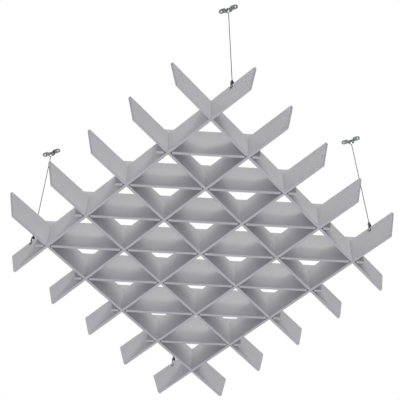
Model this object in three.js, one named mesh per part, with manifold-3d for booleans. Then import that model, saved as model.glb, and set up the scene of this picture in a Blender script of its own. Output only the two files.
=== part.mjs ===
// A ceiling raft: felt slats slotted together into a lattice, hung level on four wire cables.
// Millimetres, +Z up. The origin lies in the ceiling plane, over the middle of the lattice.
import * as THREE from 'three';
import { mergeVertices } from 'three/addons/utils/BufferGeometryUtils.js';
import Module from 'manifold-3d';

const wasm = await Module();
wasm.setup();

// ---- Driving dimensions ----

// Felt lattice
const CROSSINGS = 5; // along each slat of the square grid
const CELL = 197.5; // from crossing to crossing
const FELT = 10; // thickness of the board
const SLAT_HEIGHT = 124;
const ARM_TOP = 205; // a slat's top edge past its last crossing
const ARM_BOTTOM = 174; // a slat's bottom edge past its last crossing
const TIP_RADIUS = 3;
const DIAGONAL_HEIGHT = 157.5;
const DIAGONAL_STUB = 41.4; // a diagonal slat past its last crossing
const DIAGONAL_SLOT_PLAY = 1.7; // each side of the crossing that a diagonal straddles
const SLOT_PLAY = 0.3; // each side of a slat in its slot
const SEAT_GAP = 0.3; // between pieces that rest on each other

// Hanging points
const DROP = 666; // from the ceiling to the top edges of the grid slats
const HANG_OUT = 98.75; // from the last crossing to a hanging point, along the outer slats
const CABLE_RADIUS = 1.5;
const CABLE_TAIL = 10; // past the gripper's lower end
const FIT = 0.3; // running clearance of turned and bolted pieces
const MAX_SWAY = THREE.MathUtils.degToRad(10);

// Ceiling bracket: a hat-shaped strap
const STRAP = 2; // thickness
const BRACKET_WIDTH = 20;
const BRACKET_TURN = THREE.MathUtils.degToRad(-24); // of its length, from +X
const SCREW_SPACING = 59.5;
const SCREW_HOLE_RADIUS = 2.8;
const HAT_SPAN = 24.5;
const HAT_DEPTH = 14;
const HAT_BEND = 2.5; // outer radius of its bends
const PLATE_HOLE_RADIUS = 3.7;

// Ceiling barrel: a ball head in the bracket's plate, with the cable's end in its nose
const BALL_LAP = 0.9; // of the ball's radius over the plate's hole
const BARREL_RADIUS = 3.8;
const BARREL_LENGTH = 15;
const NOSE_LENGTH = 5;
const NOSE_WALL = 0.9;
const CABLE_SOCKET = 8; // depth of the cable in the nose

// Saddle: a strap bent over the slat, with an eye on each leg that is bolted through it
const SADDLE_RISE = 29; // over the slat's top edge
const SADDLE_LAP = 23; // down the slat's faces
const SADDLE_EYE = 11; // width at the bolt
const SADDLE_LEG = 6.5; // width of the legs
const SADDLE_CROWN = 8.6; // width at the top
const CROWN_FLARE = 4; // height over which a leg widens to the crown
const SADDLE_SHOULDER = 2; // where its legs turn inward, over the slat's top edge
const SADDLE_BEND = 0.8; // inner radius of its bends

// Cable gripper, swaged into the saddle's crown
const GRIPPER_WALL = 0.7;
const GRIPPER_NECK = 2.5;
const GRIPPER_LIP = 3.1; // radius of the swaged lip under the crown
const LIP_HEIGHT = 1.4;
const PLUNGER_RADIUS = 2.4;
const PLUNGER_OUT = 3; // length that shows over the gripper
const PLUNGER_TRAVEL = 1.5;
const PLUNGER_IN = 1.8; // length in the gripper at rest

// Inside the gripper: a slotted collet that the spring holds up in a cone, round the cable
const COLLET_HEIGHT = 2.8;
const COLLET_TOP_RADIUS = 2.6;
const COLLET_TAPER = THREE.MathUtils.degToRad(7);
const COLLET_SLOTS = 3;
const COLLET_SLOT_WIDTH = 0.5;
const COLLET_BASE = 0.8; // height of the ring that joins the collet's jaws
const SPRING_LENGTH = 3;
const SPRING_TURNS = 2.5;
const SPRING_RADIUS = 2.4; // to the middle of its wire
const SPRING_WIRE = 0.25; // radius

// Cross bolt and nut
const BOLT_RADIUS = 2;
const BOLT_HEAD_RADIUS = 3.8;
const BOLT_HEAD_HEIGHT = 2.2;
const NUT_FLATS = 7;
const NUT_HEIGHT = 3.2;
const BOLT_END = 0.8; // past the nut

// Facets
const ROUND = 16;
const SMALL_ROUND = 12;
const WIRE_ROUND = 6;
const BEND_STEPS = 3;

// ---- Finishes ----

const felt = () => new THREE.MeshStandardMaterial({ color: 0xb1b1b6, roughness: 0.95, metalness: 0 });
const steel = () => new THREE.MeshStandardMaterial({ color: 0xc0c4c6, roughness: 0.2, metalness: 1 });
const wire = () => new THREE.MeshStandardMaterial({ color: 0x9a9a96, roughness: 0.35, metalness: 1 });
const darkSteel = () => new THREE.MeshStandardMaterial({ color: 0x6b6e70, roughness: 0.3, metalness: 1 });

// ---- Shaping ----

// Position only, shared vertices merged and faces without area left out.
function bareGeometry(geometry) {
  const bare = geometry.index ? geometry.clone() : mergeVertices(geometry);
  bare.deleteAttribute('normal');
  bare.deleteAttribute('uv');
  const merged = mergeVertices(bare);
  const corners = merged.index.array;
  const kept = [];
  for (let k = 0; k < corners.length; k += 3) {
    const [a, b, c] = corners.slice(k, k + 3);
    if (a !== b && b !== c && c !== a) kept.push(a, b, c);
  }
  merged.setIndex(kept);
  return merged;
}

function toSolid(geometry) {
  const bare = bareGeometry(geometry);
  const vertProperties = new Float32Array(bare.attributes.position.array);
  const triVerts = new Uint32Array(bare.index.array);
  return new wasm.Manifold(new wasm.Mesh({ numProp: 3, vertProperties, triVerts }));
}

function toGeometry(solid) {
  const { vertProperties, triVerts } = solid.getMesh();
  const geometry = new THREE.BufferGeometry();
  geometry.setAttribute('position', new THREE.BufferAttribute(vertProperties, 3));
  geometry.setIndex(new THREE.BufferAttribute(triVerts, 1));
  geometry.computeVertexNormals();
  return geometry;
}

// Points on an arc about a centre, from one angle on through a sweep.
function arc(centre, radius, start, sweep, steps) {
  return Array.from({ length: steps + 1 }, (_, k) => {
    const angle = start + (sweep * k) / steps;
    return new THREE.Vector2(Math.cos(angle), Math.sin(angle)).multiplyScalar(radius).add(centre);
  });
}

// One corner of an outline, replaced by an arc that touches both of its sides.
function roundCorner(before, corner, after, radius) {
  const back = before.clone().sub(corner).normalize();
  const onward = after.clone().sub(corner).normalize();
  const half = Math.acos(back.dot(onward)) / 2;
  const inward = back.clone().add(onward).normalize();
  const centre = corner.clone().addScaledVector(inward, radius / Math.sin(half));
  const first = corner.clone().addScaledVector(back, radius / Math.tan(half)).sub(centre);
  const last = corner.clone().addScaledVector(onward, radius / Math.tan(half)).sub(centre);
  const sweep = Math.atan2(first.cross(last), first.dot(last));
  return arc(centre, radius, first.angle(), sweep, BEND_STEPS);
}

// A closed outline through [x, y, corner radius]; without a radius the corner stays sharp.
function outline(corners) {
  const place = corners.map(([x, y]) => new THREE.Vector2(x, y));
  const points = corners.flatMap(([, , radius], k) => {
    if (!radius) return [place[k]];
    const before = place[(k + corners.length - 1) % corners.length];
    return roundCorner(before, place[k], place[(k + 1) % corners.length], radius);
  });
  return new THREE.Shape(points);
}

function roundHole(shape, x, y, radius) {
  const points = arc(new THREE.Vector2(x, y), radius, 0, Math.PI * 2, ROUND);
  shape.holes.push(new THREE.Path(points.slice(0, ROUND)));
}

function extrude(shape, depth) {
  const geometry = new THREE.ExtrudeGeometry(shape, { depth, steps: 1, bevelEnabled: false });
  return geometry.translate(0, 0, -depth / 2);
}

const xAxis = new THREE.Vector3(1, 0, 0);
const yAxis = new THREE.Vector3(0, 1, 0);
const zAxis = new THREE.Vector3(0, 0, 1);

// A shape drawn in X and Z, as thick as depth along Y.
function extrudeAcrossY(shape, depth) {
  const turn = new THREE.Matrix4().makeBasis(xAxis, zAxis, yAxis.clone().negate());
  return extrude(shape, depth).applyMatrix4(turn);
}

// A shape drawn in Y and Z, as thick as depth along X.
function extrudeAcrossX(shape, depth) {
  const turn = new THREE.Matrix4().makeBasis(yAxis, zAxis, xAxis);
  return extrude(shape, depth).applyMatrix4(turn);
}

// A profile of [radius, height], outer side going up, turned about Z.
function turned(profile, facets) {
  const points = profile.map(([radius, height]) => new THREE.Vector2(radius, height));
  return bareGeometry(new THREE.LatheGeometry(points, facets).rotateX(Math.PI / 2));
}

function mesh(name, geometry, material) {
  const piece = new THREE.Mesh(geometry, material);
  piece.name = name;
  return piece;
}

// ---- Felt slats ----

const REACH = ((CROSSINGS - 1) / 2) * CELL; // from a slat's middle to its last crossing
const GRID_STEPS = Array.from({ length: CROSSINGS }, (_, k) => k * CELL - REACH);
const HALF_LAP = SLAT_HEIGHT / 2;
const SLOT_HALF = FELT / 2 + SLOT_PLAY;

const slatEnds = {
  bottom: [[-REACH - ARM_BOTTOM, 0, TIP_RADIUS], [REACH + ARM_BOTTOM, 0, TIP_RADIUS]],
  top: [[REACH + ARM_TOP, SLAT_HEIGHT, TIP_RADIUS], [-REACH - ARM_TOP, SLAT_HEIGHT, TIP_RADIUS]],
};

// Slots of a grid slat, cut from the edge at height mouth to the edge at height floor.
function slots(mouth, floor) {
  return GRID_STEPS.flatMap((x) => [
    [x - SLOT_HALF, mouth],
    [x - SLOT_HALF, floor],
    [x + SLOT_HALF, floor],
    [x + SLOT_HALF, mouth],
  ]);
}

// The slats that carry the lattice are slotted from above.
function bearerShape() {
  const mouths = slots(SLAT_HEIGHT, HALF_LAP - SEAT_GAP / 2).reverse();
  return outline([...slatEnds.bottom, slatEnds.top[0], ...mouths, slatEnds.top[1]]);
}

// The slats that lie in them are slotted from below.
function crosserShape() {
  const mouths = slots(0, HALF_LAP + SEAT_GAP / 2);
  return outline([slatEnds.bottom[0], ...mouths, slatEnds.bottom[1], ...slatEnds.top]);
}

const HANG_REACH = REACH + HANG_OUT;
const BOLT_DOWN = SADDLE_LAP - SADDLE_EYE / 2; // under the slat's top edge

function hungBearerShape() {
  const shape = bearerShape();
  for (const x of [-HANG_REACH, HANG_REACH]) {
    roundHole(shape, x, SLAT_HEIGHT - BOLT_DOWN, BOLT_RADIUS + FIT);
  }
  return shape;
}

const DIAGONAL_CELL = CELL * Math.SQRT2;
// Half the width of a square crossing of two boards, across a third board at 45 degrees.
const CROSSING_HALF = FELT * (Math.SQRT1_2 + 0.5);

// A diagonal slat drops over a row of crossings and bears on their top edges.
function diagonalShape(crossings) {
  const last = ((crossings - 1) / 2) * DIAGONAL_CELL;
  const half = CROSSING_HALF + DIAGONAL_SLOT_PLAY;
  const end = last + DIAGONAL_STUB;
  const mouths = Array.from({ length: crossings }, (_, k) => k * DIAGONAL_CELL - last).flatMap((x) => [
    [x - half, 0],
    [x - half, SLAT_HEIGHT + SEAT_GAP],
    [x + half, SLAT_HEIGHT + SEAT_GAP],
    [x + half, 0],
  ]);
  return outline([
    [-end, 0],
    ...mouths,
    [end, 0],
    [end, DIAGONAL_HEIGHT, TIP_RADIUS],
    [-end, DIAGONAL_HEIGHT, TIP_RADIUS],
  ]);
}

const EIGHTH_TURN = Math.PI / 4;

function makeLattice() {
  const lattice = new THREE.Group();
  lattice.position.z = -DROP - SLAT_HEIGHT;

  const bearers = new THREE.Group();
  bearers.rotation.z = -EIGHTH_TURN;
  const crossers = new THREE.Group();
  crossers.rotation.z = EIGHTH_TURN;
  GRID_STEPS.forEach((step, k) => {
    const outer = k === 0 || k === CROSSINGS - 1;
    const shape = outer ? hungBearerShape() : bearerShape();
    const bearer = mesh(`bearer_slat_${k + 1}`, extrudeAcrossY(shape, FELT), felt());
    bearer.position.y = step;
    bearers.add(bearer);
    const crosser = mesh(`cross_slat_${k + 1}`, extrudeAcrossY(crosserShape(), FELT), felt());
    crosser.position.y = step;
    crossers.add(crosser);
  });

  const diagonals = new THREE.Group();
  const rows = 2 * CROSSINGS - 3;
  for (let row = 1; row <= rows; row += 1) {
    const crossings = CROSSINGS - Math.abs(row - (CROSSINGS - 1));
    const diagonal = mesh(`diagonal_slat_${row}`, extrudeAcrossY(diagonalShape(crossings), FELT), felt());
    diagonal.position.y = ((row - (CROSSINGS - 1)) * DIAGONAL_CELL) / 2;
    diagonals.add(diagonal);
  }
  lattice.add(bearers, crossers, diagonals);
  return lattice;
}

// ---- Ceiling bracket ----

function bracketGeometry() {
  const end = (SCREW_SPACING + BRACKET_WIDTH) / 2;
  const leg = HAT_SPAN / 2;
  const inner = HAT_BEND - STRAP;
  const side = outline([
    [-end, -STRAP],
    [-leg, -STRAP, inner],
    [-leg, -HAT_DEPTH, HAT_BEND],
    [leg, -HAT_DEPTH, HAT_BEND],
    [leg, -STRAP, inner],
    [end, -STRAP],
    [end, 0],
    [leg - STRAP, 0, HAT_BEND],
    [leg - STRAP, STRAP - HAT_DEPTH, inner],
    [STRAP - leg, STRAP - HAT_DEPTH, inner],
    [STRAP - leg, 0, HAT_BEND],
    [-end, 0],
  ]);
  const half = SCREW_SPACING / 2;
  const plan = new THREE.Shape([
    ...arc(new THREE.Vector2(half, 0), BRACKET_WIDTH / 2, -Math.PI / 2, Math.PI, ROUND / 2),
    ...arc(new THREE.Vector2(-half, 0), BRACKET_WIDTH / 2, Math.PI / 2, Math.PI, ROUND / 2),
  ]);
  roundHole(plan, -half, 0, SCREW_HOLE_RADIUS);
  roundHole(plan, half, 0, SCREW_HOLE_RADIUS);
  roundHole(plan, 0, 0, PLATE_HOLE_RADIUS);
  const strap = toSolid(extrudeAcrossY(side, BRACKET_WIDTH * 2));
  return toGeometry(strap.intersect(toSolid(extrude(plan, HAT_DEPTH * 4))));
}

// ---- Ceiling barrel ----

const BALL_RADIUS = PLATE_HOLE_RADIUS + BALL_LAP;
const BALL_RISE = Math.sqrt((BALL_RADIUS + SEAT_GAP) ** 2 - PLATE_HOLE_RADIUS ** 2);
const PIVOT_Z = STRAP - HAT_DEPTH + BALL_RISE;
const NECK_RADIUS = PLATE_HOLE_RADIUS - (BALL_RISE + STRAP) * Math.tan(MAX_SWAY) - FIT;
const BARREL_TOP = -BALL_RISE - STRAP - BARREL_RADIUS * Math.sin(MAX_SWAY) - FIT;
const NOSE_TOP = BARREL_TOP - BARREL_LENGTH;
const NOSE_TIP = NOSE_TOP - NOSE_LENGTH;
const SOCKET_RADIUS = CABLE_RADIUS + FIT;

// Drawn from the ball's centre, about which it swings.
function ceilingBarrelGeometry() {
  const neckAngle = -Math.acos(NECK_RADIUS / BALL_RADIUS);
  const ball = arc(new THREE.Vector2(), BALL_RADIUS, neckAngle, Math.PI / 2 - neckAngle, BEND_STEPS * 2);
  const head = ball.slice(0, -1).map(({ x, y }) => [x, y]);
  return turned(
    [
      [0, NOSE_TIP + CABLE_SOCKET],
      [SOCKET_RADIUS, NOSE_TIP + CABLE_SOCKET],
      [SOCKET_RADIUS, NOSE_TIP],
      [SOCKET_RADIUS + NOSE_WALL, NOSE_TIP],
      [BARREL_RADIUS, NOSE_TOP],
      [BARREL_RADIUS, BARREL_TOP],
      [NECK_RADIUS, BARREL_TOP],
      ...head,
      [0, BALL_RADIUS],
    ],
    ROUND,
  );
}

// ---- Saddle ----

const SADDLE_INNER = FELT / 2 + SLOT_PLAY;
const CROWN_HALF = GRIPPER_LIP + SADDLE_BEND; // inside the legs, at the crown

// Drawn from the slat's top edge: X across the slat, Y along it.
function saddleGeometry() {
  const crown = SADDLE_RISE - STRAP;
  const bend = SADDLE_BEND + STRAP;
  const side = outline([
    [-SADDLE_INNER - STRAP, -SADDLE_LAP],
    [-SADDLE_INNER, -SADDLE_LAP],
    [-SADDLE_INNER, SADDLE_SHOULDER, bend],
    [-CROWN_HALF, crown, SADDLE_BEND],
    [CROWN_HALF, crown, SADDLE_BEND],
    [SADDLE_INNER, SADDLE_SHOULDER, bend],
    [SADDLE_INNER, -SADDLE_LAP],
    [SADDLE_INNER + STRAP, -SADDLE_LAP],
    [SADDLE_INNER + STRAP, SADDLE_SHOULDER, bend],
    [CROWN_HALF + STRAP, SADDLE_RISE, bend],
    [-CROWN_HALF - STRAP, SADDLE_RISE, bend],
    [-SADDLE_INNER - STRAP, SADDLE_SHOULDER, bend],
  ]);
  const turn = Math.acos(SADDLE_LEG / SADDLE_EYE); // where the eye runs into the leg
  const bolt = new THREE.Vector2(0, -BOLT_DOWN);
  const eye = arc(bolt, SADDLE_EYE / 2, Math.PI - turn, Math.PI + 2 * turn, ROUND);
  const face = new THREE.Shape([
    ...eye,
    new THREE.Vector2(SADDLE_LEG / 2, crown - 2 * CROWN_FLARE),
    new THREE.Vector2(SADDLE_CROWN / 2, crown - CROWN_FLARE),
    new THREE.Vector2(SADDLE_CROWN / 2, SADDLE_RISE + STRAP),
    new THREE.Vector2(-SADDLE_CROWN / 2, SADDLE_RISE + STRAP),
    new THREE.Vector2(-SADDLE_CROWN / 2, crown - CROWN_FLARE),
    new THREE.Vector2(-SADDLE_LEG / 2, crown - 2 * CROWN_FLARE),
  ]);
  roundHole(face, 0, -BOLT_DOWN, BOLT_RADIUS + FIT);
  const widest = SADDLE_INNER + CROWN_HALF + STRAP;
  const strap = toSolid(extrudeAcrossY(side, SADDLE_EYE * 2));
  const cut = toSolid(extrudeAcrossX(face, widest * 2));
  const bore = new THREE.CylinderGeometry(GRIPPER_NECK + FIT, GRIPPER_NECK + FIT, STRAP * 3, ROUND);
  bore.rotateX(Math.PI / 2).translate(0, 0, SADDLE_RISE - STRAP / 2);
  return toGeometry(strap.intersect(cut).subtract(toSolid(bore)));
}

// ---- Cable gripper ----

// Drawn from the top face of the saddle's crown.
const LIP_TOP = -STRAP - SEAT_GAP;
const LIP_BOTTOM = LIP_TOP - LIP_HEIGHT;
const CHAMBER_FLOOR = SEAT_GAP + GRIPPER_WALL;
const SPRING_BOTTOM = CHAMBER_FLOOR + SEAT_GAP;
const COLLET_BOTTOM = SPRING_BOTTOM + SPRING_LENGTH + SEAT_GAP;
const COLLET_TOP = COLLET_BOTTOM + COLLET_HEIGHT;
const PLUNGER_BOTTOM = COLLET_TOP + SEAT_GAP;
const GRIPPER_HEIGHT = PLUNGER_BOTTOM + PLUNGER_IN;
const COLLET_BOTTOM_RADIUS = COLLET_TOP_RADIUS + COLLET_HEIGHT * Math.tan(COLLET_TAPER);
const CONE_PLAY = FIT / Math.cos(COLLET_TAPER); // from the collet to the cone, level across
const CHAMBER_RADIUS = COLLET_BOTTOM_RADIUS + CONE_PLAY;
const GRIPPER_RADIUS = CHAMBER_RADIUS + GRIPPER_WALL;

function gripperGeometry() {
  const chamferHeight = (GRIPPER_RADIUS - PLUNGER_RADIUS - FIT) / 2;
  return turned(
    [
      [SOCKET_RADIUS, LIP_BOTTOM],
      [GRIPPER_LIP, LIP_BOTTOM],
      [GRIPPER_LIP, LIP_TOP],
      [GRIPPER_NECK, LIP_TOP],
      [GRIPPER_NECK, SEAT_GAP],
      [GRIPPER_RADIUS, SEAT_GAP],
      [GRIPPER_RADIUS, GRIPPER_HEIGHT - chamferHeight],
      [GRIPPER_RADIUS - chamferHeight, GRIPPER_HEIGHT],
      [PLUNGER_RADIUS + FIT, GRIPPER_HEIGHT],
      [PLUNGER_RADIUS + FIT, COLLET_TOP],
      [COLLET_TOP_RADIUS + CONE_PLAY, COLLET_TOP],
      [CHAMBER_RADIUS, COLLET_BOTTOM],
      [CHAMBER_RADIUS, CHAMBER_FLOOR],
      [SOCKET_RADIUS, CHAMBER_FLOOR],
      [SOCKET_RADIUS, LIP_BOTTOM],
    ],
    ROUND,
  );
}

// Its slots stop over the ring that joins the jaws.
function colletGeometry() {
  const body = turned(
    [
      [SOCKET_RADIUS, COLLET_BOTTOM],
      [COLLET_BOTTOM_RADIUS, COLLET_BOTTOM],
      [COLLET_TOP_RADIUS, COLLET_TOP],
      [SOCKET_RADIUS, COLLET_TOP],
      [SOCKET_RADIUS, COLLET_BOTTOM],
    ],
    ROUND,
  );
  let collet = toSolid(body);
  for (let k = 0; k < COLLET_SLOTS; k += 1) {
    const slot = new THREE.BoxGeometry(COLLET_BOTTOM_RADIUS * 2, COLLET_SLOT_WIDTH, COLLET_HEIGHT);
    slot.translate(COLLET_BOTTOM_RADIUS, 0, COLLET_BOTTOM + COLLET_BASE + COLLET_HEIGHT / 2);
    collet = collet.subtract(toSolid(slot.rotateZ((k * Math.PI * 2) / COLLET_SLOTS)));
  }
  return toGeometry(collet);
}

class Helix extends THREE.Curve {
  getPoint(share, target = new THREE.Vector3()) {
    const angle = share * SPRING_TURNS * Math.PI * 2;
    const rise = SPRING_BOTTOM + SPRING_WIRE + share * (SPRING_LENGTH - 2 * SPRING_WIRE);
    return target.set(SPRING_RADIUS * Math.cos(angle), SPRING_RADIUS * Math.sin(angle), rise);
  }
}

// Between the surfaces of the turns, on points that lie at least half a turn apart.
function leastSpringGap() {
  const points = new Helix().getPoints(SPRING_TURNS * ROUND);
  const later = (k) => points.slice(k + ROUND / 2);
  const distances = points.flatMap((point, k) => later(k).map((other) => point.distanceTo(other)));
  return Math.min(...distances) - 2 * SPRING_WIRE;
}
console.log(`spring: least gap between its turns ${leastSpringGap().toFixed(2)} mm`);

function springGeometry() {
  const steps = Math.round(SPRING_TURNS * SMALL_ROUND);
  const section = arc(new THREE.Vector2(), SPRING_WIRE, 0, Math.PI * 2, WIRE_ROUND).slice(0, WIRE_ROUND);
  const along = { steps, extrudePath: new Helix(), bevelEnabled: false };
  return new THREE.ExtrudeGeometry(new THREE.Shape(section), along);
}

function plungerGeometry() {
  const tip = GRIPPER_HEIGHT + PLUNGER_OUT;
  const tipWall = (PLUNGER_RADIUS - SOCKET_RADIUS) / 2;
  return turned(
    [
      [SOCKET_RADIUS, PLUNGER_BOTTOM],
      [PLUNGER_RADIUS, PLUNGER_BOTTOM],
      [PLUNGER_RADIUS, GRIPPER_HEIGHT + PLUNGER_TRAVEL],
      [SOCKET_RADIUS + tipWall, tip],
      [SOCKET_RADIUS, tip],
      [SOCKET_RADIUS, PLUNGER_BOTTOM],
    ],
    SMALL_ROUND,
  );
}

// ---- Cross bolt and nut ----

const GRIP_HALF = SADDLE_INNER + STRAP + SEAT_GAP; // from the slat's middle to the bolt's head or nut

// Along X through the saddle, its domed head towards -X.
function boltGeometry() {
  const head = -GRIP_HALF - BOLT_HEAD_HEIGHT;
  const dome = BOLT_HEAD_RADIUS - BOLT_HEAD_HEIGHT / 2;
  const profile = [
    [0, head],
    [dome, head],
    [BOLT_HEAD_RADIUS, -GRIP_HALF - BOLT_HEAD_HEIGHT / 2],
    [BOLT_HEAD_RADIUS, -GRIP_HALF],
    [BOLT_RADIUS, -GRIP_HALF],
    [BOLT_RADIUS, GRIP_HALF + NUT_HEIGHT + BOLT_END],
    [0, GRIP_HALF + NUT_HEIGHT + BOLT_END],
  ];
  return turned(profile, SMALL_ROUND).rotateY(Math.PI / 2);
}

function nutGeometry() {
  const corner = NUT_FLATS / Math.sqrt(3);
  const shape = new THREE.Shape(arc(new THREE.Vector2(), corner, 0, Math.PI * 2, 6).slice(0, 6));
  roundHole(shape, 0, 0, BOLT_RADIUS + FIT);
  return extrudeAcrossX(shape, NUT_HEIGHT);
}

// ---- Suspension: bracket, barrel, cable, gripper, saddle and bolt at each hanging point ----

function cableGeometry(top, bottom) {
  const rod = new THREE.CylinderGeometry(CABLE_RADIUS, CABLE_RADIUS, top - bottom, 8);
  return rod.rotateX(Math.PI / 2).translate(0, 0, (top + bottom) / 2);
}

function makeHangingPoint(number, x, y) {
  const crown = SADDLE_RISE - DROP;
  const bracket = mesh(`ceiling_bracket_${number}`, bracketGeometry(), steel());
  bracket.rotation.z = BRACKET_TURN - EIGHTH_TURN;
  const barrel = mesh(`ceiling_barrel_${number}`, ceilingBarrelGeometry(), steel());
  barrel.position.z = PIVOT_Z;
  const cableTop = PIVOT_Z + NOSE_TIP + CABLE_SOCKET - FIT;
  const cable = mesh(`cable_${number}`, cableGeometry(cableTop, crown + LIP_BOTTOM - CABLE_TAIL), wire());
  const plunger = mesh(`gripper_plunger_${number}`, plungerGeometry(), darkSteel());
  plunger.position.z = crown;
  const gripper = mesh(`cable_gripper_${number}`, gripperGeometry(), darkSteel());
  gripper.position.z = crown;
  const collet = mesh(`gripper_collet_${number}`, colletGeometry(), steel());
  collet.position.z = crown;
  const spring = mesh(`gripper_spring_${number}`, springGeometry(), steel());
  spring.position.z = crown;
  const saddle = mesh(`saddle_${number}`, saddleGeometry(), darkSteel());
  saddle.position.z = -DROP;
  const bolt = mesh(`cross_bolt_${number}`, boltGeometry(), darkSteel());
  bolt.position.z = -DROP - BOLT_DOWN;
  const nut = mesh(`cross_nut_${number}`, nutGeometry(), darkSteel());
  nut.position.set(GRIP_HALF + NUT_HEIGHT / 2, 0, -DROP - BOLT_DOWN);

  const point = new THREE.Group();
  point.position.set(x, y, 0);
  point.rotation.z = EIGHTH_TURN;
  point.add(bracket, barrel, cable, plunger, gripper, collet, spring, saddle, bolt, nut);
  return point;
}

function makeSuspension() {
  const suspension = new THREE.Group();
  const corners = [[1, -1], [1, 1], [-1, -1], [-1, 1]];
  corners.forEach(([along, across], k) => {
    const place = new THREE.Vector2(along * HANG_REACH, across * REACH);
    place.rotateAround(new THREE.Vector2(), -EIGHTH_TURN);
    suspension.add(makeHangingPoint(k + 1, place.x, place.y));
  });
  return suspension;
}

const raft = new THREE.Group();
raft.add(makeLattice(), makeSuspension());

export default raft;
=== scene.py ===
"""A ceiling raft: felt slats slotted into a lattice, hung level on four wire cables, seen from below."""
import math

import bmesh
import bpy
from mathutils import Matrix, Vector
from mathutils.geometry import delaunay_2d_cdt


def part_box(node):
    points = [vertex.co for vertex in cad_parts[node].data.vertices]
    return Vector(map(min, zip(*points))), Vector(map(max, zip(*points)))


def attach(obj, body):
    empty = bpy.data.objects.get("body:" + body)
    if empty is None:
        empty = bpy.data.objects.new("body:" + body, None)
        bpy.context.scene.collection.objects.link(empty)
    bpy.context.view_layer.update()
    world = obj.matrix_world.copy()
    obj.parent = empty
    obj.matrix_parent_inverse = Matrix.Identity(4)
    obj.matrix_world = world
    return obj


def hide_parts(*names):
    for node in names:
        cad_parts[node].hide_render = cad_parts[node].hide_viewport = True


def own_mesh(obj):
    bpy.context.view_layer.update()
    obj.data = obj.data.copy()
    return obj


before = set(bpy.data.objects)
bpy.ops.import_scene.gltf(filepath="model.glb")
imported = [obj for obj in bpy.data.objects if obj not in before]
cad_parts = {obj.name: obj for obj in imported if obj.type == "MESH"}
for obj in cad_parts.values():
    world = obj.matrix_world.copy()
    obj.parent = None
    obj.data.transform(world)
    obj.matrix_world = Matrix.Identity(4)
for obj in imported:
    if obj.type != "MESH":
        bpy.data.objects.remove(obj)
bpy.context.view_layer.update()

MM = 0.001
EIGHTH_TURN = math.pi / 4
POINTS = (1, 2, 3, 4)  # the hanging points
Y_AXIS, Z_AXIS = Vector((0, 1, 0)), Vector((0, 0, 1))


# ---- Camera ----

CAMERA_PLACE = Vector((-0.1564, -2.4403, -4.2668))
CAMERA_TARGET = Vector((-0.0172, -0.2333, -0.79))
CAMERA_LENS = 104.68
CAMERA_SENSOR = 36  # mm wide


def look_at(obj, target):
    obj.rotation_mode = "QUATERNION"
    obj.rotation_quaternion = (target - obj.location).to_track_quat("-Z", "Y")


def add_camera():
    data = bpy.data.cameras.new("camera")
    data.sensor_width = CAMERA_SENSOR
    data.lens = CAMERA_LENS
    camera = bpy.data.objects.new("camera", data)
    camera.location = CAMERA_PLACE
    look_at(camera, CAMERA_TARGET)
    bpy.context.scene.collection.objects.link(camera)
    bpy.context.scene.camera = camera


add_camera()


# ---- Places and sizes from the frame ----

def middle(node):
    low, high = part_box(node)
    return (low + high) / 2


def hanging_place(k):
    """At the ceiling over cable k, turned so that X runs across the slat and Y along it."""
    centre = middle(f"cable_{k}")
    return Matrix.Translation((centre.x, centre.y, 0)) @ Matrix.Rotation(EIGHTH_TURN, 4, "Z")


FELT_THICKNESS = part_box("diagonal_slat_4")[1].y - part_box("diagonal_slat_4")[0].y
GRID_BOTTOM, GRID_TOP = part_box("bearer_slat_1")[0].z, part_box("bearer_slat_1")[1].z
GRID_HEIGHT = GRID_TOP - GRID_BOTTOM
DIAGONAL_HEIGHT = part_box("diagonal_slat_4")[1].z - GRID_BOTTOM
CELL = (middle("bearer_slat_2") - middle("bearer_slat_1")).length


# ---- Outlines ----

def arc(centre, radius, start, sweep, steps):
    return [Vector((centre[0] + radius * math.cos(start + sweep * k / steps),
                    centre[1] + radius * math.sin(start + sweep * k / steps))) for k in range(steps + 1)]


def circle(centre, radius, sides):
    return arc(centre, radius, 0, 2 * math.pi, sides)[:-1]


def round_corner(before, corner, after, radius, steps):
    """The arc that replaces one corner of an outline."""
    back = (before - corner).normalized()
    onward = (after - corner).normalized()
    half = back.angle(onward) / 2
    centre = corner + (back + onward).normalized() * radius / math.sin(half)
    first = corner + back * radius / math.tan(half) - centre
    last = corner + onward * radius / math.tan(half) - centre
    sweep = math.atan2(first.x * last.y - first.y * last.x, first.dot(last))
    return arc(centre, radius, math.atan2(first.y, first.x), sweep, steps)


def rounded(corners, steps, closed=True):
    """Points through (x, y, corner radius); the ends of an open line stay as they are."""
    places = [Vector(corner[:2]) for corner in corners]
    points = []
    for k, (_, _, radius) in enumerate(corners):
        at_end = not closed and k in (0, len(corners) - 1)
        if radius and not at_end:
            following = places[(k + 1) % len(places)]
            points += round_corner(places[k - 1], places[k], following, radius, steps)
        else:
            points.append(places[k])
    return points


def inset(points, distance):
    """A counter-clockwise outline moved inward."""
    moved = []
    for k, corner in enumerate(points):
        back = (corner - points[k - 1]).normalized()
        onward = (points[(k + 1) % len(points)] - corner).normalized()
        in_back, in_onward = Vector((-back.y, back.x)), Vector((-onward.y, onward.x))
        moved.append(corner + (in_back + in_onward) * distance / (1 + in_back.dot(in_onward)))
    return moved


# ---- Meshes ----

def add_object(name, bm, materials, place, smooth_under):
    """A new object from a bmesh; edges sharper than smooth_under, in degrees, stay sharp."""
    mesh = bpy.data.meshes.new(name)
    bmesh.ops.recalc_face_normals(bm, faces=bm.faces)
    bm.to_mesh(mesh)
    bm.free()
    for material in materials:
        mesh.materials.append(material)
    mesh.shade_smooth()
    mesh.set_sharp_from_angle(angle=math.radians(smooth_under))
    obj = bpy.data.objects.new(name, mesh)
    obj.matrix_world = place
    bpy.context.scene.collection.objects.link(obj)
    return obj


def stand_for(obj, node, body):
    """The piece rides on the body and hides the CAD node."""
    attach(obj, body)
    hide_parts(node)


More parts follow.
